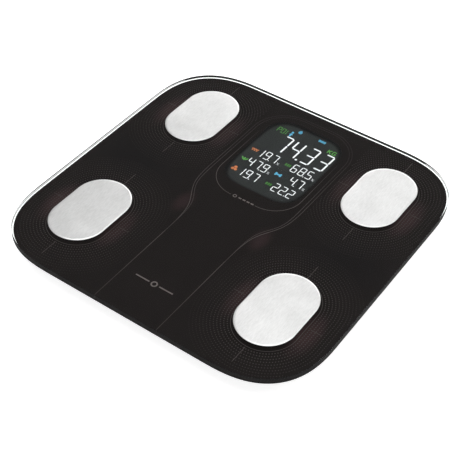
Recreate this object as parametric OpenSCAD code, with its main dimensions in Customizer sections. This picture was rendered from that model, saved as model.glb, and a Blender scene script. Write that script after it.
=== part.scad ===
// Digital bathroom scale: a glass platform with four steel electrodes and a back-lit display, on a
// shallow plastic tray that stands on four load-sensing feet.
// Millimetres, +Z up, +Y towards the display. The origin is on the floor, under the platform's middle.

/* [Platform] */
// Width of the glass platform
glass_w = 300; // [290:1:320]
// Depth of the glass platform
glass_d = 302; // [290:1:320]
// Thickness of the toughened glass
glass_t = 6; // [5:0.5:8]
// Length along each side that the rounded corner takes up
corner_r = 73; // [60:1:85]
// Squareness of the rounded corners, where 2 is a plain arc
corner_power = 2.6; // [2:0.1:3.2]
// Clear rim left between the printed layer and the glass edge
print_rim = 1.4; // [0.5:0.1:3]

/* [Electrodes] */
// Width of an electrode plate
electrode_w = 51.8; // [40:0.2:56]
// Length of an electrode plate
electrode_l = 81.2; // [70:0.2:90]
// Thickness of an electrode plate
electrode_t = 0.8; // [0.6:0.1:1.2]
// Distance of the electrodes from the middle, left and right
electrode_x = 94.8; // [90:0.1:100]
// Distance of the electrodes from their own middle line, front and back
electrode_y = 80.1; // [76:0.1:84]
// How far the electrodes' middle line lies behind the platform's middle
electrode_shift = 2.2; // [0:0.1:4]

/* [Display] */
// Width of the display window
window_w = 78; // [70:0.5:80]
// Depth of the display window
window_d = 101.5; // [90:0.5:102]
// Distance of the window's middle behind the platform's middle
window_y = 76.8; // [74:0.1:77]
// Corner radius of the window
window_r = 20; // [10:1:26]

/* [Base] */
// Distance from the glass edge in to the tray's wall
tray_inset = 14; // [13:0.5:16]
// Height of the tray's underside above the floor
tray_gap = 4.5; // [4.4:0.1:5]
// Thickness of the tray's floor
tray_floor_t = 2.4; // [2.3:0.1:2.6]
// Thickness of the tray's walls
tray_wall = 2.4; // [2:0.1:3]
// Height of the tray's rim above the floor that the scale stands on
tray_top = 18; // [18:0.5:20]

/* [Feet] */
// Distance of each foot from the middle, left and right
foot_x = 100; // [98:0.5:102]
// Distance of each foot from the middle, front and back
foot_y = 100; // [98:0.5:102]
// Radius of a foot cap
foot_r = 23.2; // [22.6:0.1:23.4]
// How far a foot drops when the scale is lifted
foot_drop = 0.6; // [0.3:0.1:0.6]

/* [Battery bay] */
// Diameter of a battery
cell_dia = 10.4; // [10:0.1:10.5]
// Length of a battery with its button
cell_len = 44.5; // [44:0.1:44.8]
// Spacing of the batteries
cell_pitch = 11.7; // [11.4:0.1:12]

/* [Hidden] */

$fn = 64;
corner_steps = 20;
overcut = 1;
hair = 0.1;

// Levels, from the floor up
tape_t = 0.5;
print_t = 0.2;
bond_t = 0.2;
tray_floor_top = tray_gap + tray_floor_t;
print_z = tray_top + tape_t;
glass_z = print_z + print_t;
glass_top = glass_z + glass_t;
electrode_z = glass_top + bond_t;
tray_w = glass_w - 2 * tray_inset;
tray_d = glass_d - 2 * tray_inset;
tray_r = corner_r - tray_inset / 2;
rim_ledge = 4.4;
rim_ledge_t = 2;

// Electrode studs
stud_r = 1.9;
stud_shift = 22;
stud_end_z = tray_top - 4;
glass_hole_r = 2.6;
print_hole_r = 3.2;
nut_across = 7;
nut_t = 3;
terminal_t = 0.6;

// Foot pockets: [sign x, sign y, turn that points the lead's exit at the middle]
front_left = [-1, -1, 180];
front_right = [1, -1, 270];
back_left = [-1, 1, 90];
back_right = [1, 1, 0];
corners = [front_left, front_right, back_left, back_right];
pocket_r = 24;
tower_r = pocket_r + tray_wall;
ceiling_z = 13;
ceiling_t = 1.8;
cell_z = 10.4;
cell_t = 1.6;
cell_side = 34;
cradle_z = 9.4;
foot_z = 1.2;
skirt_top = 8.9;
tooth_z = 7.6;
tooth_t = 1;
tooth_w = 8;
tooth_r = 25.2;
tooth_angles = [45, 165, 285];
pad_r = 19;
pad_h = 1.9;
screw_off = 20.3;

// Battery bay
bay_w = 38;
bay_l = 53;
bay_y = -78.5;
bay_wall = 1.6;
bay_top = 17;
cells_z = 11.6;
door_gap = 0.3;
door_t = 1.6;
door_w = bay_w + 2 - 2 * door_gap;
door_back = bay_y + bay_l / 2 + 0.5;
door_front = bay_y - bay_l / 2 - 1 + door_gap;
door_pivot_y = bay_y + bay_l / 2 - 0.5;
door_pivot_z = tray_gap + 0.9;
door_pin_r = 0.7;
door_pin_l = 1.7;
door_play = 0.05;
latch_w = 13;
latch_l = 4;

// Main board
board_x = 47;
board_y = -68;
board_w = 46;
board_d = 56;
board_z = 13;
board_t = 1.6;
board_top = board_z + board_t;
board_holes = [[32, -56], [64, -56], [28, -92], [66, -92]];
board_post_r = 3;
connector_h = 3.2;
button_x = 47;
button_y = -76;
button_r = 4;
switch_h = 3.5;

// Display stack
panel_w = 84;
panel_d = 107.5;
housing_wall = 1.4;
housing_z = 10.9;
housing_floor_t = 1.2;
housing_top = 17.5;
panel_z = 15.4;
panel_t = 2;
guide_z = 12.4;
guide_t = 2.4;
strip_depth = 3.4;
ear_x = 47.5;
ear_y = 40;
ear_r = 3.6;
ear_t = 2;
ribbon_x = 29;
ribbon_w = 9;

// Leads: points chosen along each route, from the sensor or terminal to the board
front_left_route = [
    [-96, -96, 13.1], [-92, -92, 16], [-81, -81, 15.8], [-74, -78, 10], [-66, -86, 8.1],
    [-54, -108, 8.1], [-30, -119, 8.1], [8, -120, 8.1], [26, -112, 9.5], [33, -103, 14], [35, -96.6, 16.2]
];
front_right_route = [
    [96, -96, 13.1], [92, -92, 16], [81, -82, 16], [76, -80.5, 16.2], [70.3, -80, 16.2]
];
back_left_route = [
    [-96, 96, 13.1], [-92, 92, 16], [-81, 81, 15.8], [-75, 74, 10], [-68, 62, 8.1], [-64, 40, 8.1],
    [-60, 0, 8.1], [-44, -20, 8.1], [-10, -26, 8.1], [24, -24, 8.1], [39, -25, 10], [45, -32, 14.5],
    [46, -39.4, 16.2]
];
back_right_route = [
    [96, 96, 13.1], [92, 92, 16], [81, 81, 15.8], [75, 74, 10], [68, 62, 8.1], [64, 40, 8.1],
    [62, 10, 8.1], [60, -16, 8.1], [58, -27, 10], [54, -33, 14.5], [53, -39.4, 16.2]
];
electrode_routes = [
    [[-86.7, -55.9, 17.4], [-82, -51, 13], [-74, -44, 7.9], [-40, -38, 7.9], [0, -38, 7.9],
     [23, -37.5, 8.5], [33, -36, 13.5], [37.5, -39.5, 16]],
    [[-86.7, 60.3, 17.4], [-84, 54, 13], [-80, 44, 7.9], [-76, 0, 7.9], [-62, -24, 7.9],
     [-30, -32, 7.9], [8, -33, 7.9], [30, -31, 8.5], [38, -34, 13.5], [40, -39.5, 16]],
    [[86.7, 60.3, 17.4], [84, 54, 13], [80, 44, 7.9], [78, 0, 7.9], [74, -22, 8.5], [66, -33, 13],
     [60.5, -37, 15.5], [60, -39.5, 16]],
    [[86.7, -55.9, 17.4], [84, -50, 17.2], [76, -41, 17], [67, -36.5, 16.6], [63.6, -37, 16.2],
     [63, -39.5, 16]]
];
battery_routes = [
    [[-11.7, -48.2, 9.5], [-6, -47, 8], [10, -47, 7.9], [22.5, -49, 7.9], [31, -66, 8.2], [37, -70, 12.2]],
    [[11.7, -109, 9.5], [18, -111, 8], [26, -105, 8.6], [32, -99, 9], [35, -88, 12.2]]
];
ribbon_route = [
    [22.9, 16.2], [19, 16.2], [12, 11.4], [-8, 11.4], [-26, 15.6], [-37, 16], [-40.9, 15.4]
];
lead_r = 1;
wire_r = 0.6;

// Outline with straight sides and superellipse corners
function signed_power(v) = sign(v) * pow(abs(v), 2 / corner_power);
function squircle(w, d, r) = [
    for (quarter = [0:3], i = [0:corner_steps])
        let (a = 90 * (quarter + i / corner_steps),
             sx = (quarter == 0 || quarter == 3) ? 1 : -1,
             sy = quarter < 2 ? 1 : -1)
            [sx * (w / 2 - r) + r * signed_power(cos(a)), sy * (d / 2 - r) + r * signed_power(sin(a))]
];

// Smooth curve through the points of a route, and the round tube along it
function spline(a, b, c, d, t) = (2 * b + (c - a) * t + (2 * a - 5 * b + 4 * c - d) * t * t
    + (3 * b - a - 3 * c + d) * t * t * t) / 2;
function along(p, i) = p[max(0, min(len(p) - 1, i))];
function smooth(p, steps) = concat(
    [for (i = [0:len(p) - 2], k = [0:steps - 1])
        spline(along(p, i - 1), p[i], p[i + 1], along(p, i + 2), k / steps)],
    [p[len(p) - 1]]);
function heading(path, i) = let (v = along(path, i + 1) - along(path, i - 1)) v / norm(v);
function level(v) = let (s = cross(v, [0, 0, 1])) s / norm(s);

module tube(path, r, sides) {
    rings = len(path);
    points = [
        for (i = [0:rings - 1])
            let (t = heading(path, i), side = level(t), up = cross(side, t))
                for (k = [0:sides - 1])
                    path[i] + r * (cos(360 * k / sides) * side + sin(360 * k / sides) * up)
    ];
    walls = [
        for (i = [0:rings - 2], k = [0:sides - 1])
            let (n = (k + 1) % sides)
                [i * sides + k, (i + 1) * sides + k, (i + 1) * sides + n, i * sides + n]
    ];
    start = [for (k = [0:sides - 1]) k];
    end = [for (k = [sides - 1:-1:0]) (rings - 1) * sides + k];
    polyhedron(points, concat(walls, [start, end]), convexity = 10);
}

module at_corner(c) {
    translate([c[0] * foot_x, c[1] * foot_y, 0]) rotate([0, 0, c[2]]) children();
}

module at_corners() {
    for (c = corners) at_corner(c) children();
}

module at_studs() {
    for (c = corners)
        translate([c[0] * electrode_x, electrode_shift + c[1] * (electrode_y - stud_shift), 0])
            mirror([c[0] < 0 ? 1 : 0, 0, 0]) children();
}

module plate(w, d, r, z, h) {
    translate([0, 0, z]) linear_extrude(h) polygon(squircle(w, d, r));
}

module frame_plate(inset_out, inset_in, z, h) {
    difference() {
        plate(tray_w - 2 * inset_out, tray_d - 2 * inset_out, tray_r - inset_out, z, h);
        plate(tray_w - 2 * inset_in, tray_d - 2 * inset_in, tray_r - inset_in, z - overcut, h + 2 * overcut);
    }
}

module block(x0, x1, y0, y1, z0, z1) {
    translate([x0, y0, z0]) cube([x1 - x0, y1 - y0, z1 - z0]);
}

module rod(r, z0, z1) {
    translate([0, 0, z0]) cylinder(r = r, h = z1 - z0);
}

module ring(r_out, r_in, z0, z1) {
    difference() {
        rod(r_out, z0, z1);
        rod(r_in, z0 - overcut, z1 + overcut);
    }
}

module stadium(width, length) {
    square([width, length - width], center = true);
    for (s = [-1, 1]) translate([0, s * (length - width) / 2]) circle(d = width);
}

module rounded_rect(w, d, r) {
    square([w - 2 * r, d], center = true);
    square([w, d - 2 * r], center = true);
    for (sx = [-1, 1], sy = [-1, 1]) translate([sx * (w / 2 - r), sy * (d / 2 - r)]) circle(r = r);
}

// Cross-head screw with its head's top at z and its shank going down
module screw(head_r, head_h, shank_r, shank_l) {
    slot = 0.5;
    difference() {
        rod(head_r, -head_h, 0);
        for (a = [0, 90])
            rotate([0, 0, a]) block(-head_r * 0.6, head_r * 0.6, -slot / 2, slot / 2, -head_h * 0.6, overcut);
    }
    rod(shank_r, -head_h - shank_l, -head_h);
}

// ---- Platform ----

module glass_platform() {
    color("lightcyan") difference() {
        plate(glass_w, glass_d, corner_r, glass_z, glass_t);
        at_studs() rod(glass_hole_r, glass_z - overcut, glass_top + overcut);
    }
}

module back_print() {
    color("black") difference() {
        plate(glass_w - 2 * print_rim, glass_d - 2 * print_rim, corner_r - print_rim, print_z, print_t);
        translate([0, window_y, print_z - overcut]) linear_extrude(print_t + 2 * overcut)
            rounded_rect(window_w, window_d, window_r);
        at_studs() rod(print_hole_r, print_z - overcut, glass_z + overcut);
    }
}

module electrode(c) {
    color("silver") {
        translate([c[0] * electrode_x, electrode_shift + c[1] * electrode_y, electrode_z])
            linear_extrude(electrode_t) stadium(electrode_w, electrode_l);
        translate([c[0] * electrode_x, electrode_shift + c[1] * (electrode_y - stud_shift), 0])
            rod(stud_r, stud_end_z, electrode_z + electrode_t / 2);
    }
}

module electrode_front_left() { electrode(front_left); }
module electrode_front_right() { electrode(front_right); }
module electrode_back_left() { electrode(back_left); }
module electrode_back_right() { electrode(back_right); }

module electrode_bond_pads() {
    pad_margin = 2;
    color("dimgray") for (c = corners) difference() {
        translate([c[0] * electrode_x, electrode_shift + c[1] * electrode_y, glass_top])
            linear_extrude(bond_t) stadium(electrode_w - 2 * pad_margin, electrode_l - 2 * pad_margin);
        translate([c[0] * electrode_x, electrode_shift + c[1] * (electrode_y - stud_shift), 0])
            rod(glass_hole_r, glass_top - overcut, electrode_z + overcut);
    }
}

module electrode_terminals() {
    ring_r = 4;
    neck_w = 2.4;
    barrel_r = 0.9;
    barrel = [5.2, 7.4];
    top = print_z - hair;
    color("gold") at_studs() {
        difference() {
            union() {
                rod(ring_r, top - terminal_t, top);
                block(-barrel[0] - overcut, -ring_r + 1, -neck_w / 2, neck_w / 2, top - terminal_t, top);
            }
            rod(stud_r + hair, top - terminal_t - overcut, top + overcut);
        }
        translate([-barrel[1], 0, top - barrel_r]) rotate([0, 90, 0])
            cylinder(r = barrel_r, h = barrel[1] - barrel[0]);
    }
}

module electrode_nuts() {
    top = print_z - hair - terminal_t;
    color("silver") at_studs() difference() {
        translate([0, 0, top - nut_t]) cylinder(r = nut_across / sqrt(3), h = nut_t, $fn = 6);
        rod(stud_r + 0.05, top - nut_t - overcut, top + overcut);
    }
}

module bond_tape() {
    margin = 0.2;
    color("gainsboro") {
        frame_plate(margin, rim_ledge - margin, tray_top, tape_t);
        at_corners() ring(tower_r - margin, pocket_r + margin, tray_top, print_z);
    }
}

// ---- Base ----

module tray_shell() {
    plate(tray_w, tray_d, tray_r, tray_gap, tray_floor_t);
    frame_plate(0, tray_wall, tray_gap, tray_top - tray_gap);
    frame_plate(tray_wall / 2, rim_ledge, tray_top - rim_ledge_t, rim_ledge_t);
}

module foot_tower() {
    bar_x = 14.5;
    bar_w = 2.4;
    bar_l = 26;
    boss_r = 2.6;
    lead_window = 9.5;
    difference() {
        rod(tower_r, tray_gap, tray_top);
        rod(pocket_r, tray_gap - overcut, ceiling_z);
        rod(pocket_r, ceiling_z + ceiling_t, tray_top + overcut);
        block(-lead_window, lead_window, -lead_window, lead_window,
              ceiling_z - overcut, ceiling_z + ceiling_t + overcut);
    }
    for (s = [-1, 1]) {
        block(s * bar_x - bar_w / 2, s * bar_x + bar_w / 2, -bar_l / 2, bar_l / 2,
              cell_z + cell_t, ceiling_z + ceiling_t / 2);
        translate([0, s * screw_off, 0]) rod(boss_r, ceiling_z + ceiling_t / 2, tray_top - rim_ledge_t);
    }
}

module foot_pocket_cuts() {
    window_w = tooth_w + 1.6;
    notch_w = 4;
    rod(pocket_r, tray_gap - overcut, tray_floor_top);
    for (a = tooth_angles)
        rotate([0, 0, a]) block(pocket_r - 2, tower_r + overcut, -window_w / 2, window_w / 2,
                                tooth_z - foot_drop - 0.3, tooth_z + tooth_t + 0.3);
    rotate([0, 0, 225]) block(pocket_r - 2, tower_r + overcut, -notch_w / 2, notch_w / 2,
                              ceiling_z + ceiling_t, tray_top - 0.6);
    for (s = [-1, 1])
        translate([0, s * screw_off, 0]) rod(1.2, ceiling_z - overcut, tray_top - rim_ledge_t + overcut);
}

module battery_bay_walls() {
    divider_w = 0.8;
    difference() {
        block(-bay_w / 2 - bay_wall, bay_w / 2 + bay_wall, bay_y - bay_l / 2 - bay_wall,
              bay_y + bay_l / 2 + bay_wall, tray_gap + tray_floor_t / 2, tray_top);
        block(-bay_w / 2, bay_w / 2, bay_y - bay_l / 2, bay_y + bay_l / 2, tray_gap, bay_top);
    }
    for (s = [-1, 1])
        block(s * cell_pitch / 2 - divider_w / 2, s * cell_pitch / 2 + divider_w / 2,
              bay_y - bay_l / 2 + 8, bay_y + bay_l / 2 - 8, bay_top - 2.6, bay_top + 0.5);
}

module door_opening() {
    half_w = bay_w / 2 + 1;
    ledge_z = tray_gap + door_t + 0.2;
    block(-half_w, half_w, bay_y - bay_l / 2 - 1, bay_y + bay_l / 2 + 1, tray_gap - overcut, ledge_z);
    block(-bay_w / 2, bay_w / 2, bay_y - bay_l / 2, bay_y + bay_l / 2, ledge_z - hair, bay_top - 5);
    block(-half_w, half_w, door_pivot_y - 2, bay_y + bay_l / 2 + 1, ledge_z - hair, tray_floor_top - hair);
    // Hinge sockets beside the opening
    translate([-half_w - door_pin_l - 0.3, door_pivot_y, door_pivot_z]) rotate([0, 90, 0])
        cylinder(r = door_pin_r + door_play, h = 2 * (half_w + door_pin_l + 0.3));
    // Notch that the latch stands in, and the hollow for a fingertip in front of it
    notch_y = door_front - latch_l - 0.4;
    notch_half = latch_w / 2 + 0.5;
    block(-notch_half, notch_half, notch_y, bay_y - bay_l / 2, tray_gap - overcut, ledge_z);
    block(-notch_half, notch_half, notch_y, bay_y - bay_l / 2 - bay_wall, tray_gap, tray_floor_top + overcut);
    translate([0, notch_y, tray_gap - 6]) sphere(r = 7.6);
    // Slots for the two solder tabs
    for (s = [-1, 1])
        block(-s * cell_pitch - 1.8, -s * cell_pitch + 1.8, bay_y + s * (bay_l / 2 + bay_wall / 2) - bay_wall,
              bay_y + s * (bay_l / 2 + bay_wall / 2) + bay_wall, cells_z - 2.7, cells_z - 1.2);
}

module board_posts() {
    for (p = board_holes) translate([p[0], p[1], 0]) ring(board_post_r, 1.1, tray_floor_top - hair, board_z);
}

module housing_posts() {
    for (sx = [-1, 1], sy = [-1, 1])
        translate([sx * ear_x, window_y + sy * ear_y, 0]) ring(ear_r, 1.1, tray_floor_top - hair, housing_z);
}

module stiffening_ribs() {
    rib_t = 1.6;
    low_z = tray_floor_top + 4;
    for (y = [40, 66, 88, 112]) block(-42, 42, y, y + rib_t, tray_gap + 1, housing_z - hair);
    for (x = [-30, 0, 30]) block(x, x + rib_t, 28, 126, tray_gap + 1, housing_z - hair);
    for (s = [-1, 1]) {
        block(s * 100 - rib_t / 2, s * 100 + rib_t / 2, -foot_y + tower_r - 1, foot_y - tower_r + 1,
              tray_gap + 1, 13);
        block(s * 63 - 12.5, s * 63 + 12.5, 105 - rib_t / 2, 105 + rib_t / 2, tray_gap + 1, low_z);
    }
    block(-foot_x + tower_r - 1, foot_x - tower_r + 1, -129, -129 + rib_t, tray_gap + 1, tray_top);
}

module button_opening() {
    translate([button_x, button_y, 0]) {
        rod(button_r + 0.3, tray_gap - overcut, tray_floor_top + overcut);
        rod(button_r * 2, tray_gap - overcut, tray_gap + 0.6);
    }
}

module base_tray() {
    color("dimgray") difference() {
        union() {
            difference() {
                tray_shell();
                at_corners() rod(pocket_r, tray_gap - overcut, tray_floor_top + overcut);
            }
            at_corners() foot_tower();
            battery_bay_walls();
            board_posts();
            housing_posts();
            stiffening_ribs();
        }
        at_corners() foot_pocket_cuts();
        door_opening();
        button_opening();
    }
}

// ---- Feet and load cells ----

module load_cell(c) {
    slot = 2;
    tongue_w = 15;
    tongue_end = 9;
    neck = -12;
    color("silver") at_corner(c) difference() {
        translate([0, 0, cell_z]) linear_extrude(cell_t) rounded_rect(cell_side, cell_side, 4);
        for (s = [-1, 1])
            block(s * tongue_w / 2 - (s < 0 ? slot : 0), s * tongue_w / 2 + (s > 0 ? slot : 0),
                  neck, tongue_end + slot, cell_z - overcut, cell_z + cell_t + overcut);
        block(-tongue_w / 2 - slot, tongue_w / 2 + slot, tongue_end, tongue_end + slot,
              cell_z - overcut, cell_z + cell_t + overcut);
    }
}

module load_cell_front_left() { load_cell(front_left); }
module load_cell_front_right() { load_cell(front_right); }
module load_cell_back_left() { load_cell(back_left); }
module load_cell_back_right() { load_cell(back_right); }

module cell_cradle(c) {
    cradle_r = pocket_r - 0.3;
    pocket_side = cell_side + 0.4;
    opening = 26;
    color("dimgray") at_corner(c) difference() {
        rod(cradle_r, cradle_z, ceiling_z - hair);
        block(-opening / 2, opening / 2, -opening / 2, opening / 2, cradle_z - overcut, ceiling_z);
        block(-pocket_side / 2, pocket_side / 2, -pocket_side / 2, pocket_side / 2, cell_z, ceiling_z);
        for (s = [-1, 1]) translate([0, s * screw_off, 0]) {
            rod(2.2, cradle_z - overcut, cradle_z + 1.5);
            rod(1.3, cradle_z, ceiling_z);
        }
    }
}

module cell_cradle_front_left() { cell_cradle(front_left); }
module cell_cradle_front_right() { cell_cradle(front_right); }
module cell_cradle_back_left() { cell_cradle(back_left); }
module cell_cradle_back_right() { cell_cradle(back_right); }

module strain_gauges() {
    color("gold") at_corners() block(-4.5, 4.5, -10.5, -5.5, cell_z + cell_t, cell_z + cell_t + 0.3);
}

module cradle_screws() {
    color("silver") at_corners() for (s = [-1, 1])
        translate([0, s * screw_off, cradle_z + 0.05]) rotate([180, 0, 0]) screw(2, 1.4, 1.1, 4.6);
}

module foot_cap(c) {
    skirt_t = 1.8;
    floor_top = foot_z + 2.2;
    boss_r = 4;
    pin_r = 3;
    pin_top = cell_z - 0.2;
    rib_t = 1.4;
    color("dimgray") at_corner(c) {
        difference() {
            rod(foot_r, foot_z, skirt_top);
            rod(foot_r - skirt_t, floor_top, skirt_top + overcut);
            rod(pad_r + 0.05, foot_z - overcut, pad_h);
        }
        rod(boss_r, floor_top - hair, skirt_top);
        rod(pin_r, skirt_top - hair, pin_top);
        for (a = [0:60:300])
            rotate([0, 0, a]) block(boss_r - 0.5, foot_r - skirt_t + 0.3, -rib_t / 2, rib_t / 2,
                                    floor_top - hair, floor_top + 3);
        for (a = tooth_angles)
            rotate([0, 0, a]) block(foot_r - skirt_t + 0.4, tooth_r, -tooth_w / 2, tooth_w / 2,
                                    tooth_z, tooth_z + tooth_t);
    }
}

module foot_cap_front_left() { foot_cap(front_left); }
module foot_cap_front_right() { foot_cap(front_right); }
module foot_cap_back_left() { foot_cap(back_left); }
module foot_cap_back_right() { foot_cap(back_right); }

module foot_pad(c) {
    groove = 0.5;
    color("black") at_corner(c) difference() {
        rod(pad_r, 0, pad_h);
        for (r = [7, 11, 15]) ring(r + 0.8, r, -overcut, groove);
    }
}

module foot_pad_front_left() { foot_pad(front_left); }
module foot_pad_front_right() { foot_pad(front_right); }
module foot_pad_back_left() { foot_pad(back_left); }
module foot_pad_back_right() { foot_pad(back_right); }

// ---- Battery bay ----

module battery_door() {
    z1 = tray_gap + door_t;
    tab_y = door_front - latch_l + 0.5;
    tab_t = 0.9;
    tab_top = 10.6;
    color("dimgray") {
        difference() {
            union() {
                block(-door_w / 2, door_w / 2, door_front, door_back, tray_gap, z1);
                block(-latch_w / 2, latch_w / 2, door_front - latch_l + 0.1, door_front + overcut,
                      tray_gap, z1);
            }
            for (i = [0:4])
                block(-6, 6, door_front + 4 + 2 * i, door_front + 4.8 + 2 * i,
                      tray_gap - overcut, tray_gap + 0.4);
        }
        // Sprung latch: an upright tab with a hook above the tray's floor
        block(-latch_w / 2 + 1, latch_w / 2 - 1, tab_y, tab_y + tab_t, z1 - hair, tab_top);
        block(-latch_w / 2 + 1, latch_w / 2 - 1, tab_y - 0.3, tab_y + 0.1, 7.2, 8.2);
        translate([-door_w / 2 - door_pin_l, door_pivot_y, door_pivot_z]) rotate([0, 90, 0])
            cylinder(r = door_pin_r, h = door_w + 2 * door_pin_l);
    }
}

module battery(column, button_side) {
    button_r = 1.9;
    button_h = 0.9;
    body_l = cell_len - button_h;
    clear = 1;
    color("orange")
        translate([column * cell_pitch, bay_y + button_side * (bay_l / 2 - clear), cells_z])
            rotate([button_side * 90, 0, 0]) {
                translate([0, 0, button_h]) cylinder(d = cell_dia, h = body_l);
                cylinder(r = button_r, h = button_h + hair);
            }
}

module battery_left() { battery(-1, 1); }
module battery_middle() { battery(0, -1); }
module battery_right() { battery(1, 1); }

module battery_springs() {
    wire = 0.35;
    turns = 4;
    per_turn = 12;
    length = bay_l - cell_len - 1 - 0.9;
    coil = [
        for (i = [0:turns * per_turn])
            let (a = 360 * i / per_turn, f = i / (turns * per_turn), r = 3.6 - 1.5 * f)
                [r * cos(a), r * sin(a), wire + f * (length - 2 * wire)]
    ];
    color("silver") for (column = [-1:1]) {
        side = column == 0 ? 1 : -1;
        translate([column * cell_pitch, bay_y + side * (bay_l / 2 - 0.8), cells_z])
            rotate([side * 90, 0, 0]) tube(coil, wire, 6);
    }
}

module battery_contacts() {
    t = 0.4;
    half = 4.4;
    z0 = cells_z - 4;
    z1 = cells_z + 4;
    color("silver") for (end = [-1, 1]) {
        face = bay_y + end * (bay_l / 2 - 0.5);
        free = -end * cell_pitch;
        pair = end * cell_pitch;
        block(free - half, free + half, face - t / 2, face + t / 2, z0, z1);
        block(min(0, pair) - half, max(0, pair) + half, face - t / 2, face + t / 2, z0, z1);
        block(free - 1.5, free + 1.5, min(face, face + end * 3.4), max(face, face + end * 3.4),
              cells_z - 2.3, cells_z - 1.8);
    }
}

// ---- Electronics ----

module main_board() {
    color("darkgreen") difference() {
        translate([board_x, board_y, board_z]) linear_extrude(board_t) rounded_rect(board_w, board_d, 2);
        for (p = board_holes) translate([p[0], p[1], 0]) rod(1.3, board_z - overcut, board_top + overcut);
    }
}

module controller_chip() {
    body = 10;
    lead_w = 0.5;
    pitch = 1.1;
    chip_h = 1.3;
    color("black") translate([42, -78, board_top]) {
        block(-body / 2, body / 2, -body / 2, body / 2, 0.15, chip_h);
        for (a = [0:90:270], i = [-3.5:1:3.5])
            rotate([0, 0, a]) block(body / 2 - 0.3, body / 2 + 1.1, i * pitch - lead_w / 2,
                                    i * pitch + lead_w / 2, 0, 0.3);
    }
}

module radio_module() {
    color("gray") translate([49, -60, board_top]) {
        block(-9, 9, -7, 7, 0, 0.8);
        block(-8.2, 3.8, -6.2, 6.2, 0.7, 2.6);
        for (i = [0:3]) block(5 + i, 5.4 + i, -5, 5, 0.7, 0.9);
    }
}

module board_capacitors() {
    can_r = 3.1;
    color("silver") for (p = [[58, -66], [58, -86], [36, -82]]) translate([p[0], p[1], 0]) {
        rod(can_r, board_z - 5.4, board_z - 0.6);
        block(-can_r - 0.2, can_r + 0.2, -can_r - 0.2, can_r + 0.2, board_z - 0.8, board_z);
    }
}

module board_connectors() {
    color("ivory") {
        for (x = [46, 53]) connector(x - 3, x + 3, -44.2, -40);
        for (x = [38.75, 61.5]) connector(x - 2.6, x + 2.6, -44.2, -40);
        connector(32, 38, -96, -91.8);
        connector(65.8, 70, -83, -77);
        block(ribbon_x - ribbon_w / 2 - 1, ribbon_x + ribbon_w / 2 + 1, -45, -41, board_top, board_top + 1.8);
    }
}

module connector(x0, x1, y0, y1) {
    wall = 0.6;
    difference() {
        block(x0, x1, y0, y1, board_top, board_top + connector_h);
        block(x0 + wall, x1 - wall, y0 + wall, y1 - wall, board_top + 1.9, board_top + connector_h + overcut);
    }
}

module board_screws() {
    color("silver") for (p = board_holes) translate([p[0], p[1], board_top + 1.4]) screw(2.2, 1.4, 1.05, 7);
}

module switch_housing() {
    color("dimgray") translate([button_x, button_y, 0]) difference() {
        block(-3, 3, -3, 3, board_z - switch_h, board_z);
        rod(1.8, board_z - switch_h - overcut, board_z - 0.8);
    }
}

module switch_plunger() {
    color("black") translate([button_x, button_y, 0]) rod(1.75, 8.9, 11.2);
}

module unit_button() {
    color("gray") translate([button_x, button_y, 0]) {
        rod(button_r, tray_gap + 0.4, 8);
        rod(button_r + 1.4, tray_floor_top + 0.2, 8);
        rod(1.5, 8 - hair, 8.85);
    }
}

// ---- Display ----

module display_gasket() {
    color("black") translate([0, window_y, housing_top + 0.1]) linear_extrude(print_z - housing_top - 0.2)
        difference() {
            rounded_rect(panel_w + 1, panel_d + 1, 3);
            rounded_rect(window_w + 1, window_d + 1, window_r);
        }
}

module display_panel() {
    color("darkslategray") translate([0, window_y, panel_z]) linear_extrude(panel_t)
        square([panel_w, panel_d], center = true);
}

module display_diffuser() {
    color("white") translate([0, window_y, guide_z + guide_t]) linear_extrude(0.4)
        square([panel_w, panel_d], center = true);
}

module light_guide() {
    color("azure") translate([0, window_y + strip_depth / 2, guide_z]) linear_extrude(guide_t)
        square([panel_w, panel_d - strip_depth], center = true);
}

module display_reflector() {
    color("white") translate([0, window_y, guide_z - 0.25]) linear_extrude(0.2)
        square([panel_w, panel_d], center = true);
}

module backlight_strip() {
    strip_y = window_y - panel_d / 2;
    color("khaki") {
        block(-panel_w / 2 + 1, panel_w / 2 - 1, strip_y, strip_y + 0.8,
              guide_z + 0.05, guide_z + guide_t - 0.05);
        for (i = [-4:4])
            block(i * 9 - 1.7, i * 9 + 1.7, strip_y + 0.75, strip_y + 2.2, guide_z + 0.4, guide_z + 2);
    }
}

module display_housing() {
    w = panel_w + 0.6;
    d = panel_d + 0.6;
    color("white") difference() {
        union() {
            translate([0, window_y, housing_z]) linear_extrude(housing_top - housing_z)
                rounded_rect(w + 2 * housing_wall, d + 2 * housing_wall, 3);
            for (sx = [-1, 1], sy = [-1, 1]) translate([sx * ear_x, window_y + sy * ear_y, 0]) {
                rod(ear_r, housing_z, housing_z + ear_t);
                block(-sx * 5 - 1, -sx * 5 + 1, -ear_r, ear_r, housing_z, housing_z + ear_t);
                block(min(0, -sx * 5), max(0, -sx * 5), -ear_r, ear_r, housing_z, housing_z + ear_t);
            }
        }
        translate([0, window_y, housing_z + housing_floor_t]) linear_extrude(housing_top)
            square([w, d], center = true);
        for (sx = [-1, 1], sy = [-1, 1])
            translate([sx * ear_x, window_y + sy * ear_y, 0]) rod(1.3, housing_z - overcut, housing_top);
        block(ribbon_x - ribbon_w / 2 - 0.6, ribbon_x + ribbon_w / 2 + 0.6, window_y - d / 2 - 4,
              window_y - d / 2 + overcut, 15.4, housing_top + overcut);
    }
}

module housing_screws() {
    color("silver") for (sx = [-1, 1], sy = [-1, 1])
        translate([sx * ear_x, window_y + sy * ear_y, housing_z + ear_t + 1.4]) screw(2.2, 1.4, 1.05, 5);
}

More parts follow.
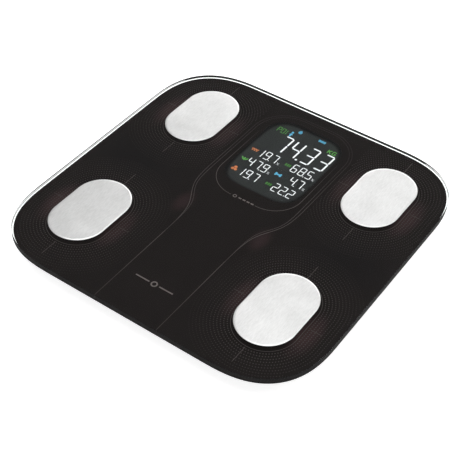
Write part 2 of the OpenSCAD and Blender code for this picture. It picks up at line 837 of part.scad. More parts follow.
// The ribbon's side outline is its route pushed up and down by half its thickness
module display_ribbon() {
    half_t = 0.1;
    path = smooth([for (p = ribbon_route) [0, p[0], p[1]]], 4);
    normals = [for (i = [0:len(path) - 1]) let (t = heading(path, i)) [-t[2], t[1]]];
    upper = [for (i = [0:len(path) - 1]) [path[i][1], path[i][2]] + half_t * normals[i]];
    lower = [for (i = [len(path) - 1:-1:0]) [path[i][1], path[i][2]] - half_t * normals[i]];
    color("orange") translate([ribbon_x - ribbon_w / 2, 0, 0]) rotate([90, 0, 90])
        linear_extrude(ribbon_w) polygon(concat(upper, lower));
}

// ---- Leads ----

module load_cell_lead(route) {
    color("white") tube(smooth(route, 3), lead_r, 8);
}

module load_cell_lead_front_left() { load_cell_lead(front_left_route); }
module load_cell_lead_front_right() { load_cell_lead(front_right_route); }
module load_cell_lead_back_left() { load_cell_lead(back_left_route); }
module load_cell_lead_back_right() { load_cell_lead(back_right_route); }

module electrode_leads() {
    color("red") for (route = electrode_routes) tube(smooth(route, 3), wire_r, 6);
}

module battery_leads() {
    color("black") for (route = battery_routes) tube(smooth(route, 3), wire_r, 6);
}

glass_platform();
back_print();
electrode_front_left();
electrode_front_right();
electrode_back_left();
electrode_back_right();
electrode_bond_pads();
electrode_terminals();
electrode_nuts();
bond_tape();
base_tray();
load_cell_front_left();
load_cell_front_right();
load_cell_back_left();
load_cell_back_right();
cell_cradle_front_left();
cell_cradle_front_right();
cell_cradle_back_left();
cell_cradle_back_right();
strain_gauges();
cradle_screws();
foot_cap_front_left();
foot_cap_front_right();
foot_cap_back_left();
foot_cap_back_right();
foot_pad_front_left();
foot_pad_front_right();
foot_pad_back_left();
foot_pad_back_right();
battery_door();
battery_left();
battery_middle();
battery_right();
battery_springs();
battery_contacts();
main_board();
controller_chip();
radio_module();
board_capacitors();
board_connectors();
board_screws();
switch_housing();
switch_plunger();
unit_button();
display_gasket();
display_panel();
display_diffuser();
light_guide();
display_reflector();
backlight_strip();
display_housing();
housing_screws();
display_ribbon();
load_cell_lead_front_left();
load_cell_lead_front_right();
load_cell_lead_back_left();
load_cell_lead_back_right();
electrode_leads();
battery_leads();
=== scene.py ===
"""Looks for a digital bathroom scale with a glass platform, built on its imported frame."""
import math

import bmesh
import bpy
from mathutils import Matrix, Vector


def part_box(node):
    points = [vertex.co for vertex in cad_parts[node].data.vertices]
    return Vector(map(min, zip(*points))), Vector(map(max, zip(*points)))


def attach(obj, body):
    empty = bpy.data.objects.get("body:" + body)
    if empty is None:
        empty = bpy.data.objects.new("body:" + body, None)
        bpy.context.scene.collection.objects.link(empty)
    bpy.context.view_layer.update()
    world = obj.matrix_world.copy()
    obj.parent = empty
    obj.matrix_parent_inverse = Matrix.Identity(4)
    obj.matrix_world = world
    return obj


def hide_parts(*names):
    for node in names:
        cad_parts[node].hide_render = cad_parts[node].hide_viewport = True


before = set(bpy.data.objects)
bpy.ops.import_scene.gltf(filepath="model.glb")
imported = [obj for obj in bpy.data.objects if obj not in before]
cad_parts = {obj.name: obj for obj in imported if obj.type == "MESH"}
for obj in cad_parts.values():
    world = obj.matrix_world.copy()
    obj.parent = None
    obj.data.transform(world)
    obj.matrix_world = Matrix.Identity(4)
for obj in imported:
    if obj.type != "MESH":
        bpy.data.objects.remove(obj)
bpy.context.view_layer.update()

MM = 0.001
CORNERS = ("front_left", "front_right", "back_left", "back_right")
SIDES = (-1, 1)


def box_mm(node):
    """Lowest and highest corner of a node of the frame, in millimetres."""
    low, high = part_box(node)
    return low / MM, high / MM


# ---------------------------------------------------------------- outlines

GLASS_LOW, GLASS_HIGH = box_mm("glass_platform")
PRINT_LOW, PRINT_HIGH = box_mm("back_print")
PANEL_LOW, PANEL_HIGH = box_mm("display_panel")
GLASS_W, GLASS_D = GLASS_HIGH.x - GLASS_LOW.x, GLASS_HIGH.y - GLASS_LOW.y
CORNER_R, CORNER_POWER = 73, 2.6  # a power over 2 gives fuller corners than circles
WINDOW_W, WINDOW_D, WINDOW_R = 78, 101.5, 20
WINDOW_Y = (PANEL_LOW.y + PANEL_HIGH.y) / 2
STUD_R, STUD_HOLE_R, PRINT_HOLE_R = 1.9, 2.6, 3.2
STUD_SHIFT = 22  # from an electrode's centre to its stud
INK_LIFT = 0.05  # the print is fused this far into the lower face of the glass
PRINT_TOP = PRINT_HIGH.z + INK_LIFT


def round_corners(width, depth, radius, power=2.0, steps=28, centre=(0, 0)):
    """A closed outline with four rounded corners; power 2 gives circular ones."""
    outline = []
    for quarter, (side_x, side_y) in enumerate(((1, 1), (-1, 1), (-1, -1), (1, -1))):
        for step in range(steps + 1):
            angle = math.radians(90) * (quarter + step / steps)
            reach_x = abs(math.cos(angle)) ** (2 / power) if abs(math.cos(angle)) > 1e-9 else 0
            reach_y = abs(math.sin(angle)) ** (2 / power) if abs(math.sin(angle)) > 1e-9 else 0
            outline.append((centre[0] + side_x * (width / 2 - radius + radius * reach_x),
                            centre[1] + side_y * (depth / 2 - radius + radius * reach_y)))
    return outline


def platform_outline(inset):
    return round_corners(GLASS_W - 2 * inset, GLASS_D - 2 * inset, CORNER_R - inset, CORNER_POWER)


def window_outline(inset):
    return round_corners(WINDOW_W - 2 * inset, WINDOW_D - 2 * inset, WINDOW_R - inset,
                         centre=(0, WINDOW_Y))


def circle(x, y, radius, steps=24):
    turn = 2 * math.pi / steps
    return [(x + radius * math.cos(i * turn), y + radius * math.sin(i * turn)) for i in range(steps)]


def at_height(outline, z):
    return [(x, y, z) for x, y in outline]


def inside_platform(x, y, inset):
    """True where a point is at least inset from the platform's edge."""
    radius = CORNER_R - inset
    over_x = abs(x) - (GLASS_W / 2 - CORNER_R)
    over_y = abs(y) - (GLASS_D / 2 - CORNER_R)
    if over_x <= 0 or over_y <= 0:
        return over_x < radius and over_y < radius
    return (over_x / radius) ** CORNER_POWER + (over_y / radius) ** CORNER_POWER < 1


# ---------------------------------------------------------------- mesh making

SHARP_ANGLE = math.radians(38)  # edges that turn more than this stay crisp


class Shape:
    """Points and faces of one piece, in millimetres."""

    def __init__(self):
        self.points, self.faces, self.shades = [], [], []

    def loft(self, rings, tube=False, shade=1.0):
        """Skins a row of rings with equal point counts; a tube joins its last ring to its first.
        The shade is one number, or a list with one for each ring."""
        count, first = len(rings[0]), len(self.points)
        for ring in rings:
            self.points += ring
        by_ring = shade if isinstance(shade, list) else [shade] * len(rings)
        self.shades += [value for value in by_ring for _ in range(count)]
        pairs = [(i, i + 1) for i in range(len(rings) - 1)]
        if tube:
            pairs.append((len(rings) - 1, 0))
        for low, high in pairs:
            for i in range(count):
                j = (i + 1) % count
                self.faces.append([first + low * count + i, first + low * count + j,
                                   first + high * count + j, first + high * count + i])
        if not tube:
            last = first + (len(rings) - 1) * count
            self.faces.append([first + i for i in reversed(range(count))])
            self.faces.append([last + i for i in range(count)])

    def prism(self, outline, low, high, shade=1.0):
        self.loft([at_height(outline, low), at_height(outline, high)], shade=shade)

    def strip(self, path, width, low, high, closed=False, shade=1.0):
        """A flat line of the given width laid along a path."""
        rings = []
        last = len(path) - 1
        for i, (x, y) in enumerate(path):
            before = path[i - 1] if i or closed else path[0]
            after = path[(i + 1) % len(path)] if i < last or closed else path[last]
            along = Vector((after[0] - before[0], after[1] - before[1]))
            if along.length < 1e-9:
                along = Vector((1, 0))
            along.normalize()
            side_x, side_y = -along.y * width / 2, along.x * width / 2
            rings.append([(x - side_x, y - side_y, low), (x + side_x, y + side_y, low),
                          (x + side_x, y + side_y, high), (x - side_x, y - side_y, high)])
        self.loft(rings, tube=closed, shade=shade)

    def piece(self, name, material, slot, body="scale_body", stands_for=()):
        """Makes the object, joins it to its body and gives it its finish."""
        mesh = bpy.data.meshes.new(name)
        mesh.from_pydata([(x * MM, y * MM, z * MM) for x, y, z in self.points], [], self.faces)
        shades = mesh.attributes.new("ink_shade", "FLOAT", "POINT")
        shades.data.foreach_set("value", self.shades)
        work = bmesh.new()
        work.from_mesh(mesh)
        bmesh.ops.recalc_face_normals(work, faces=work.faces)
        work.to_mesh(mesh)
        work.free()
        mesh.shade_smooth()
        mesh.set_sharp_from_angle(angle=SHARP_ANGLE)
        made = bpy.data.objects.new(name, mesh)
        bpy.context.scene.collection.objects.link(made)
        mesh.materials.append(material)
        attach(made, body)
        if stands_for:
            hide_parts(*stands_for)
        return made


def cut_holes(piece, centres, radius, low, high):
    """Drills round holes through a piece and leaves a plain mesh."""
    drill = Shape()
    for x, y in centres:
        drill.prism(circle(x, y, radius, 32), low, high)
    mesh = bpy.data.meshes.new("drill")
    mesh.from_pydata([(x * MM, y * MM, z * MM) for x, y, z in drill.points], [], drill.faces)
    cutter = bpy.data.objects.new("drill", mesh)
    bpy.context.scene.collection.objects.link(cutter)
    boolean = piece.modifiers.new("holes", "BOOLEAN")
    boolean.operation, boolean.object, boolean.solver = "DIFFERENCE", cutter, "EXACT"
    bpy.context.view_layer.update()
    drilled = bpy.data.meshes.new_from_object(piece.evaluated_get(bpy.context.evaluated_depsgraph_get()))
    piece.modifiers.remove(boolean)
    piece.data = drilled
    bpy.data.objects.remove(cutter)
    drilled.shade_smooth()
    drilled.set_sharp_from_angle(angle=SHARP_ANGLE)


def weigh_normals(piece):
    """Keeps large faces flat beside their small rounded edges."""
    piece.modifiers.new("flat_faces", "WEIGHTED_NORMAL").keep_sharp = True


def electrode_centre(corner):
    low, high = box_mm("electrode_" + corner)
    return (low.x + high.x) / 2, (low.y + high.y) / 2


def stud_centre(corner):
    """Each electrode has one stud, nearer the middle of the platform than its own centre."""
    x, y = electrode_centre(corner)
    return x, y + (STUD_SHIFT if corner.startswith("front") else -STUD_SHIFT)


# ---------------------------------------------------------------- shader nodes

TONE_LOW, TONE_HIGH = 0.3, 0.7  # a texture's tone where a value reaches its low and high end


def add(tree, kind, **settings):
    """Adds a node; a setting is one of its properties, or else the value of an input."""
    node = tree.nodes.new(kind)
    for name, value in settings.items():
        if name in node.bl_rna.properties:
            setattr(node, name, value)
        else:
            node.inputs[name.replace("_", " ")].default_value = value
    return node


def link(tree, source, target):
    tree.links.new(source, target)


def math_node(tree, operation, first, second=None, third=None):
    node = add(tree, "ShaderNodeMath", operation=operation)
    for place, value in enumerate((first, second, third)):
        if value is None:
            continue
        if isinstance(value, (int, float)):
            node.inputs[place].default_value = value
        else:
            link(tree, value, node.inputs[place])
    return node.outputs[0]


def remap(tree, value, from_low, from_high, to_low, to_high, kind="LINEAR"):
    node = add(tree, "ShaderNodeMapRange", interpolation_type=kind)
    link(tree, value, node.inputs["Value"])
    for name, number in (("From Min", from_low), ("From Max", from_high),
                         ("To Min", to_low), ("To Max", to_high)):
        node.inputs[name].default_value = number
    return node.outputs["Result"]


def by_tone(tree, texture, low, high):
    """A value that goes from low to high with the tone of a texture group."""
    return remap(tree, texture.outputs["Tone"], TONE_LOW, TONE_HIGH, low, high)


def blend_colours(tree, mask, deep, pale):
    """Deep colour where the mask is 0, pale where it is 1; a colour may be a socket."""
    node = add(tree, "ShaderNodeMix", data_type="RGBA")
    link(tree, mask, node.inputs["Factor"])
    for name, colour in (("A", deep), ("B", pale)):
        socket = next(s for s in node.inputs if s.name == name and s.type == "RGBA")
        if isinstance(colour, (tuple, list)):
            socket.default_value = (*colour, 1)
        else:
            link(tree, colour, socket)
    return next(s for s in node.outputs if s.type == "RGBA")


def group_tree(name, inputs, outputs):
    """An empty shader node group with named sockets."""
    tree = bpy.data.node_groups.new(name, "ShaderNodeTree")
    for label, kind, value in inputs:
        socket = tree.interface.new_socket(label, in_out="INPUT", socket_type=kind)
        socket.default_value = value
    for label, kind in outputs:
        tree.interface.new_socket(label, in_out="OUTPUT", socket_type=kind)
    return tree, add(tree, "NodeGroupInput"), add(tree, "NodeGroupOutput")


def grain_group():
    """Fine moulded or cast grain over a slow drift of tone."""
    tree, given, result = group_tree(
        "surface_grain", [("Size", "NodeSocketFloat", 400.0), ("Drift", "NodeSocketFloat", 30.0)],
        [("Tone", "NodeSocketFloat"), ("Height", "NodeSocketFloat")])
    place = add(tree, "ShaderNodeTexCoord")
    fine = add(tree, "ShaderNodeTexNoise", Detail=3.0, Roughness=0.6)
    slow = add(tree, "ShaderNodeTexNoise", Detail=2.0)
    pits = add(tree, "ShaderNodeTexVoronoi")
    for node, size in ((fine, "Size"), (slow, "Drift"), (pits, "Size")):
        link(tree, place.outputs["Object"], node.inputs["Vector"])
        link(tree, given.outputs[size], node.inputs["Scale"])
    tone = math_node(tree, "MULTIPLY_ADD", fine.outputs["Fac"], 0.5,
                     math_node(tree, "MULTIPLY", slow.outputs["Fac"], 0.5))
    height = math_node(tree, "MULTIPLY_ADD", pits.outputs["Distance"], 0.6,
                       math_node(tree, "MULTIPLY", fine.outputs["Fac"], 0.4))
    link(tree, tone, result.inputs["Tone"])
    link(tree, height, result.inputs["Height"])
    return tree


def brushed_group():
    """Long fine lines left by a belt along Y, with a slow drift of tone across them."""
    tree, given, result = group_tree(
        "brushed_lines", [("Size", "NodeSocketFloat", 900.0), ("Stretch", "NodeSocketFloat", 40.0)],
        [("Tone", "NodeSocketFloat"), ("Height", "NodeSocketFloat")])
    place = add(tree, "ShaderNodeTexCoord")
    squeeze = add(tree, "ShaderNodeCombineXYZ", X=1.0, Z=1.0)
    link(tree, math_node(tree, "DIVIDE", 1.0, given.outputs["Stretch"]), squeeze.inputs["Y"])
    stretched = add(tree, "ShaderNodeVectorMath", operation="MULTIPLY")
    link(tree, place.outputs["Object"], stretched.inputs[0])
    link(tree, squeeze.outputs["Vector"], stretched.inputs[1])
    lines = add(tree, "ShaderNodeTexNoise", Detail=4.0, Roughness=0.65)
    cloud = add(tree, "ShaderNodeTexNoise", Scale=45.0, Detail=3.0)
    link(tree, stretched.outputs["Vector"], lines.inputs["Vector"])
    link(tree, given.outputs["Size"], lines.inputs["Scale"])
    link(tree, place.outputs["Object"], cloud.inputs["Vector"])
    tone = math_node(tree, "MULTIPLY_ADD", lines.outputs["Fac"], 0.65,
                     math_node(tree, "MULTIPLY", cloud.outputs["Fac"], 0.35))
    link(tree, tone, result.inputs["Tone"])
    link(tree, lines.outputs["Fac"], result.inputs["Height"])
    return tree


def edge_group():
    """Where corners and edges have been rubbed paler."""
    tree, given, result = group_tree(
        "rubbed_edges", [("Amount", "NodeSocketFloat", 0.5)], [("Mask", "NodeSocketFloat")])
    shape = add(tree, "ShaderNodeNewGeometry")
    place = add(tree, "ShaderNodeTexCoord")
    broken = add(tree, "ShaderNodeTexNoise", Scale=160.0, Detail=4.0)
    link(tree, place.outputs["Object"], broken.inputs["Vector"])
    sharp = remap(tree, shape.outputs["Pointiness"], 0.52, 0.62, 0.0, 1.0)
    patchy = math_node(tree, "MULTIPLY", sharp, broken.outputs["Fac"])
    link(tree, math_node(tree, "MULTIPLY", patchy, given.outputs["Amount"]), result.inputs["Mask"])
    return tree


def dust_group():
    """Thin dust on faces that look up."""
    tree, given, result = group_tree(
        "settled_dust", [("Amount", "NodeSocketFloat", 0.2)], [("Mask", "NodeSocketFloat")])
    shape = add(tree, "ShaderNodeNewGeometry")
    place = add(tree, "ShaderNodeTexCoord")
    split = add(tree, "ShaderNodeSeparateXYZ")
    specks = add(tree, "ShaderNodeTexNoise", Scale=220.0, Detail=5.0)
    link(tree, shape.outputs["Normal"], split.inputs[0])
    link(tree, place.outputs["Object"], specks.inputs["Vector"])
    upward = remap(tree, split.outputs["Z"], 0.3, 1.0, 0.0, 1.0)
    spread = remap(tree, specks.outputs["Fac"], 0.45, 0.8, 0.0, 1.0)
    both = math_node(tree, "MULTIPLY", upward, spread)
    link(tree, math_node(tree, "MULTIPLY", both, given.outputs["Amount"]), result.inputs["Mask"])
    return tree


def spot_group():
    """A soft oval patch: 1 at its centre, 0 from its reach outward."""
    tree, given, result = group_tree(
        "soft_spot", [("Centre", "NodeSocketVector", (0, 0, 0)), ("Reach", "NodeSocketVector", (1, 1, 1))],
        [("Mask", "NodeSocketFloat")])
    place = add(tree, "ShaderNodeTexCoord")
    away = add(tree, "ShaderNodeVectorMath", operation="SUBTRACT")
    share = add(tree, "ShaderNodeVectorMath", operation="DIVIDE")
    flat = add(tree, "ShaderNodeVectorMath", operation="MULTIPLY")
    length = add(tree, "ShaderNodeVectorMath", operation="LENGTH")
    link(tree, place.outputs["Object"], away.inputs[0])
    link(tree, given.outputs["Centre"], away.inputs[1])
    link(tree, away.outputs["Vector"], share.inputs[0])
    link(tree, given.outputs["Reach"], share.inputs[1])
    link(tree, share.outputs["Vector"], flat.inputs[0])
    flat.inputs[1].default_value = (1, 1, 0)
    link(tree, flat.outputs["Vector"], length.inputs[0])
    link(tree, remap(tree, length.outputs["Value"], 0.0, 1.0, 1.0, 0.0, "SMOOTHERSTEP"),
         result.inputs["Mask"])
    return tree


GRAIN, BRUSHED, RUBBED, DUST, SPOT = (
    grain_group(), brushed_group(), edge_group(), dust_group(), spot_group())


def place_group(tree, group, **values):
    node = add(tree, "ShaderNodeGroup", node_tree=group)
    for name, value in values.items():
        node.inputs[name].default_value = value
    return node


def new_finish(name, **constants):
    """A material whose shader sockets start from plain constants."""
    material = bpy.data.materials.new(name)
    material.use_nodes = True
    shader = material.node_tree.nodes["Principled BSDF"]
    for socket, value in constants.items():
        shader.inputs[socket.replace("_", " ")].default_value = value
    return material, material.node_tree, shader


def relief(tree, shader, height, strength, depth):
    bump = add(tree, "ShaderNodeBump", Strength=strength, Distance=depth)
    link(tree, height, bump.inputs["Height"])
    link(tree, bump.outputs["Normal"], shader.inputs["Normal"])


def textured(name, deep, pale, rough, size, group=None, drift=30.0, strength=0.25, depth=0.0001,
             worn=0.0, worn_colour=(0.5, 0.5, 0.5), dusty=0.0, **constants):
    """The recipe that the solid finishes share: grain in colour, gloss and relief, rubbed edges
    and dust."""
    material, tree, shader = new_finish(name, **constants)
    if group is None:
        texture = place_group(tree, GRAIN, Size=size, Drift=drift)
    else:
        texture = place_group(tree, group, Size=size)
    tone = by_tone(tree, texture, 0.0, 1.0)
    colour = blend_colours(tree, tone, deep, pale)
    if worn:
        edges = place_group(tree, RUBBED, Amount=worn)
        colour = blend_colours(tree, edges.outputs["Mask"], colour, worn_colour)
    if dusty:
        dust = place_group(tree, DUST, Amount=dusty)
        colour = blend_colours(tree, dust.outputs["Mask"], colour, (0.55, 0.53, 0.5))
    link(tree, colour, shader.inputs["Base Color"])
    link(tree, by_tone(tree, texture, *rough), shader.inputs["Roughness"])
    relief(tree, shader, texture.outputs["Height"], strength, depth)
    return material


# ---------------------------------------------------------------- finishes of the glass top

PRINT_GLOSS = (0.45, 0.6)  # lowest and highest roughness of print and ink
COOL_X, COOL_Y, COOL_REACH = 110, 2, (72, 52)  # where the print looks cooler and darker
GLOW_AWAY = 30  # from an electrode's centre to the glow on either side of it
GLOW_REACH_OUTER, GLOW_REACH_INNER = (17, 36), (16, 36)


def toughened_glass():
    material, tree, shader = new_finish("toughened_glass", Transmission_Weight=1.0, IOR=1.5,
                                        Specular_Tint=(0.3, 0.3, 0.3, 1))
    haze = place_group(tree, GRAIN, Size=9.0, Drift=14.0)
    link(tree, blend_colours(tree, haze.outputs["Tone"], (0.955, 0.985, 0.975), (0.99, 1.0, 0.995)),
         shader.inputs["Base Color"])
    link(tree, remap(tree, haze.outputs["Tone"], 0.55, 0.75, 0.0, 0.02), shader.inputs["Roughness"])
    return material


def polished_edge():
    """The ground and polished edge: greener and hazier than the faces, and darker. The green is the
    glass's own edge tint; the darkening is painted shade that keeps the edge wall dark.
    """
    material, tree, shader = new_finish("polished_edge", Transmission_Weight=1.0, IOR=1.5)
    haze = place_group(tree, GRAIN, Size=40.0, Drift=14.0)
    # deep base colour: partly the edge's own green, partly painted shade that darkens the wall seen
    # through it
    link(tree, blend_colours(tree, haze.outputs["Tone"], (0.26, 0.30, 0.29), (0.34, 0.38, 0.37)),
         shader.inputs["Base Color"])
    link(tree, remap(tree, haze.outputs["Tone"], 0.5, 0.75, 0.0, 0.04), shader.inputs["Roughness"])
    return material


def glow_spots():
    """Centre, reach and strength of each faint warm glow in the print, in millimetres."""
    spots = []
    for corner in CORNERS:
        x, y = electrode_centre(corner)
        outward = 1 if x > 0 else -1
        spots.append(((x + outward * GLOW_AWAY, y - 6), GLOW_REACH_OUTER, 0.95))
        spots.append(((x - outward * GLOW_AWAY, y - 3), GLOW_REACH_INNER, 0.75))
    for side in SIDES:
        spots.append(((side * 40, -20), (12, 22), 0.5))
    return spots


def spots_mask(tree, spots):
    """Soft spots, each with its own strength, added up to 1 at most."""
    total = None
    for (x, y), (reach_x, reach_y), weight in spots:
        spot = place_group(tree, SPOT, Centre=(x * MM, y * MM, 0), Reach=(reach_x * MM, reach_y * MM, 1))
        share = math_node(tree, "MULTIPLY", spot.outputs["Mask"], weight)
        total = share if total is None else math_node(tree, "ADD", total, share)
    return math_node(tree, "MINIMUM", total, 1.0)


def ceramic_print():
    """Dark brown fired print, cooler toward the sides, with faint warm glows by the electrodes. Its faint
    emission is painted light that lifts the shade the electrode plates cast on the print round them.
    """
    # the faint emission below is painted light: it lifts the shade that the electrode plates cast on the
    # print
    material, tree, shader = new_finish("ceramic_print", IOR=1.5, Specular_IOR_Level=0.1,
                                        Emission_Color=(1.0, 0.78, 0.76, 1), Emission_Strength=0.0042)
    grain = place_group(tree, GRAIN, Size=700.0, Drift=12.0)
    warm = blend_colours(tree, grain.outputs["Tone"], (0.0082, 0.0060, 0.0056), (0.0122, 0.0091, 0.0086))
    cool = spots_mask(tree, [((side * COOL_X, COOL_Y), COOL_REACH, 0.8) for side in SIDES])
    ground = blend_colours(tree, cool, warm, (0.0052, 0.0050, 0.0058))
    glow = math_node(tree, "MULTIPLY", spots_mask(tree, glow_spots()), 0.8)
    colour = blend_colours(tree, glow, ground, (0.075, 0.04, 0.042))
    link(tree, colour, shader.inputs["Base Color"])
    link(tree, by_tone(tree, grain, *PRINT_GLOSS), shader.inputs["Roughness"])
    relief(tree, shader, grain.outputs["Height"], 0.05, 0.00002)
    return material


def print_ink():
    """Pale brown ink of the fine lines and dots; each mark holds its own strength."""
    material, tree, shader = new_finish("print_ink", Specular_IOR_Level=0.1)
    grain = place_group(tree, GRAIN, Size=900.0, Drift=20.0)
    shade = add(tree, "ShaderNodeAttribute", attribute_name="ink_shade")
    lit = math_node(tree, "MULTIPLY_ADD", spots_mask(tree, glow_spots()), 0.1, shade.outputs["Fac"])
    strength = math_node(tree, "MULTIPLY", lit, by_tone(tree, grain, 0.85, 1.0))
    link(tree, blend_colours(tree, strength, (0.0155, 0.012, 0.0113), (0.27, 0.235, 0.225)),
         shader.inputs["Base Color"])
    link(tree, by_tone(tree, grain, *PRINT_GLOSS), shader.inputs["Roughness"])
    return material


def electrode_steel():
    material, tree, shader = new_finish("electrode_steel", Metallic=1.0)
    lines = place_group(tree, BRUSHED, Size=1500.0, Stretch=6.0)
    tone = by_tone(tree, lines, 0.0, 1.0)
    link(tree, blend_colours(tree, tone, (0.55, 0.55, 0.545), (0.74, 0.74, 0.735)),
         shader.inputs["Base Color"])
    link(tree, by_tone(tree, lines, 0.42, 0.55), shader.inputs["Roughness"])
    relief(tree, shader, lines.outputs["Height"], 0.22, 0.00006)
    return material


# ---------------------------------------------------------------- finishes of the display


def display_glass():
    """Dark grey panel that fades to a black border under the window's edge."""
    material, tree, shader = new_finish("display_glass", Specular_IOR_Level=0.1)
    grain = place_group(tree, GRAIN, Size=500.0, Drift=18.0)
    place = add(tree, "ShaderNodeTexCoord")
    away = add(tree, "ShaderNodeVectorMath", operation="SUBTRACT")
    split = add(tree, "ShaderNodeSeparateXYZ")
    link(tree, place.outputs["Object"], away.inputs[0])
    away.inputs[1].default_value = (0, WINDOW_Y * MM, 0)
    link(tree, away.outputs["Vector"], split.inputs[0])
    shares = []
    for axis, half in (("X", 37.6), ("Y", 49.2)):
        share = math_node(tree, "DIVIDE", math_node(tree, "ABSOLUTE", split.outputs[axis]), half * MM)
        shares.append(math_node(tree, "POWER", share, 4.6))
    border = remap(tree, math_node(tree, "ADD", *shares), 0.78, 1.12, 0.0, 1.0, "SMOOTHSTEP")
    grey = blend_colours(tree, grain.outputs["Tone"], (0.031, 0.034, 0.034), (0.037, 0.0405, 0.0405))
    link(tree, blend_colours(tree, border, grey, (0.0035, 0.0033, 0.0034)), shader.inputs["Base Color"])
    link(tree, by_tone(tree, grain, 0.5, 0.62), shader.inputs["Roughness"])
    return material


def lit_mark(name, deep, pale, strength):
    """A lit part of the display, a little uneven like light behind a mask."""
    material, tree, shader = new_finish(name, Base_Color=(0.02, 0.02, 0.02, 1), Specular_IOR_Level=0.0,
                                        Emission_Strength=strength)
    grain = place_group(tree, GRAIN, Size=600.0, Drift=60.0)
    tone = by_tone(tree, grain, 0.0, 1.0)
    shade = add(tree, "ShaderNodeAttribute", attribute_name="ink_shade")
    link(tree, blend_colours(tree, shade.outputs["Fac"], (0.01, 0.01, 0.01),
                             blend_colours(tree, tone, deep, pale)), shader.inputs["Emission Color"])
    link(tree, remap(tree, tone, 0.0, 1.0, 0.5, 0.6), shader.inputs["Roughness"])
    return material


def readout_white():
    return lit_mark("readout_white", (0.86, 0.89, 0.91), (0.95, 0.97, 0.98), 1.15)


def readout_blue():
    return lit_mark("readout_blue", (0.10, 0.42, 0.66), (0.16, 0.55, 0.80), 1.0)


def readout_green():
    return lit_mark("readout_green", (0.07, 0.30, 0.05), (0.13, 0.42, 0.08), 1.0)


def readout_orange():
    return lit_mark("readout_orange", (0.50, 0.15, 0.05), (0.70, 0.24, 0.09), 1.0)


def light_acrylic():
    material, tree, shader = new_finish("light_acrylic", Transmission_Weight=0.6, IOR=1.49)
    grain = place_group(tree, GRAIN, Size=250.0, Drift=30.0)
    link(tree, blend_colours(tree, grain.outputs["Tone"], (0.80, 0.86, 0.88), (0.92, 0.95, 0.96)),
         shader.inputs["Base Color"])
    link(tree, by_tone(tree, grain, 0.12, 0.3), shader.inputs["Roughness"])
    return material


def film_white():
    return textured("film_white", (0.72, 0.73, 0.74), (0.86, 0.87, 0.88), (0.45, 0.6), 350.0,
                    strength=0.1)


def housing_plastic():
    return textured("housing_plastic", (0.62, 0.62, 0.60), (0.74, 0.74, 0.72), (0.4, 0.55), 420.0,
                    worn=0.4, worn_colour=(0.86, 0.86, 0.84))


def ribbon_film():
    return textured("ribbon_film", (0.42, 0.16, 0.03), (0.62, 0.28, 0.06), (0.3, 0.42), 500.0,
                    group=BRUSHED, strength=0.2)


# ---------------------------------------------------------------- finishes of the base


def tray_plastic():
    return textured("tray_plastic", (0.013, 0.013, 0.014), (0.026, 0.026, 0.027), (0.48, 0.66), 900.0,
                    strength=0.35, depth=0.00008, worn=0.7, worn_colour=(0.09, 0.09, 0.09), dusty=0.12)


def cradle_plastic():
    return textured("cradle_plastic", (0.60, 0.58, 0.54), (0.72, 0.70, 0.66), (0.42, 0.58), 600.0,
                    worn=0.5, worn_colour=(0.82, 0.80, 0.77))


def button_plastic():
    return textured("button_plastic", (0.055, 0.056, 0.058), (0.09, 0.09, 0.094), (0.34, 0.48), 800.0,
                    worn=0.6, worn_colour=(0.2, 0.2, 0.2))


def foot_rubber():
    return textured("foot_rubber", (0.018, 0.018, 0.018), (0.045, 0.044, 0.043), (0.72, 0.9), 500.0,
                    strength=0.5, depth=0.00015, dusty=0.3, Specular_IOR_Level=0.3)


def bond_foam():
    return textured("bond_foam", (0.010, 0.010, 0.010), (0.03, 0.03, 0.03), (0.8, 0.95), 1100.0,
                    strength=0.6, depth=0.0002)


def plated_steel():
    return textured("plated_steel", (0.50, 0.50, 0.49), (0.72, 0.72, 0.71), (0.18, 0.34), 900.0,
                    strength=0.15, depth=0.00004, Metallic=1.0)


def spring_steel():
    return textured("spring_steel", (0.34, 0.34, 0.34), (0.52, 0.52, 0.51), (0.25, 0.42), 1200.0,
                    group=BRUSHED, depth=0.00004, Metallic=1.0)


def brass():
    return textured("brass", (0.50, 0.31, 0.10), (0.72, 0.48, 0.19), (0.22, 0.4), 800.0,
                    depth=0.00004, Metallic=1.0)


def battery_case():
    """Plain dark sleeve with a copper-toned band at one end and speckled print."""
    material, tree, shader = new_finish("battery_case", Coat_Weight=0.4, Coat_Roughness=0.2)
    grain = place_group(tree, GRAIN, Size=650.0, Drift=40.0)
    place = add(tree, "ShaderNodeTexCoord")
    split = add(tree, "ShaderNodeSeparateXYZ")
    link(tree, place.outputs["Generated"], split.inputs[0])
    band = remap(tree, split.outputs["Y"], 0.70, 0.71, 0.0, 1.0)
    sleeve = blend_colours(tree, grain.outputs["Tone"], (0.012, 0.013, 0.015), (0.03, 0.03, 0.034))
    link(tree, blend_colours(tree, band, sleeve, (0.42, 0.20, 0.08)), shader.inputs["Base Color"])
    link(tree, by_tone(tree, grain, 0.25, 0.4), shader.inputs["Roughness"])
    return material


def circuit_board():
    """Green lacquer over the faint lines of copper tracks."""
    material, tree, shader = new_finish("circuit_board", Coat_Weight=0.5, Coat_Roughness=0.15)
    place = add(tree, "ShaderNodeTexCoord")
    tracks = add(tree, "ShaderNodeTexBrick", Scale=190.0, Mortar_Size=0.06)
    grain = place_group(tree, GRAIN, Size=500.0, Drift=60.0)
    link(tree, place.outputs["Object"], tracks.inputs["Vector"])
    lacquer = blend_colours(tree, grain.outputs["Tone"], (0.008, 0.07, 0.025), (0.014, 0.10, 0.038))
    link(tree, blend_colours(tree, tracks.outputs["Fac"], lacquer, (0.03, 0.19, 0.07)),
         shader.inputs["Base Color"])
    link(tree, by_tone(tree, grain, 0.3, 0.45), shader.inputs["Roughness"])
    relief(tree, shader, tracks.outputs["Fac"], 0.2, 0.00003)
    return material


